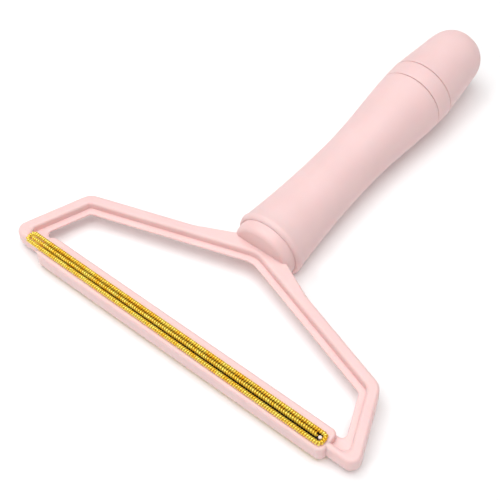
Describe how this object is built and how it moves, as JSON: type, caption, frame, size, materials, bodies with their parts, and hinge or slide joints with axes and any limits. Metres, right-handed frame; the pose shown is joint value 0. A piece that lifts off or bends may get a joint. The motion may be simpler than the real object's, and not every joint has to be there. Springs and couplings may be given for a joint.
{
  "type": "manual fabric shaver",
  "caption": "Hand-held lint and pill remover: pentagonal plastic frame with coiled-wire scraping strips on its lower bar and a round waisted push-on handle.",
  "frame": {"origin": "middle of the blade bar's outer edge face, on the handle's axis", "axes": "+X along the blade bar, +Y from the bar to the handle's end along the handle's axis, +Z out of the front face"},
  "size_m": [0.1514, 0.181, 0.0278],
  "materials": {
    "head_plastic": "satin moulded pink",
    "handle_plastic": "fine matt moulded pink",
    "peg_plastic": "satin pale pink",
    "dark_strip": "blackened steel strip",
    "brass_wire": "bright drawn wire, close wound"
  },
  "bodies": {
    "head": {"head_frame": "head_plastic", "front_bar_shell": "head_plastic", "rear_bar_shell": "head_plastic", "front_backing_strip": "dark_strip", "rear_backing_strip": "dark_strip", "front_coil_loop": "brass_wire", "front_coil_strand": "brass_wire", "rear_coil_loop": "brass_wire", "rear_coil_strand": "brass_wire", "coil_peg": "peg_plastic", "neck_plug": "head_plastic"},
    "handle": {"handle_grip": "handle_plastic", "handle_socket": "handle_plastic", "handle_band": "handle_plastic", "handle_end_cap": "handle_plastic"}
  },
  "joints": [
    {"name": "handle_pull", "type": "slide", "parent": "head", "child": "handle", "axis": [0, 1, 0], "range_m": [0, 0.03]}
  ]
}
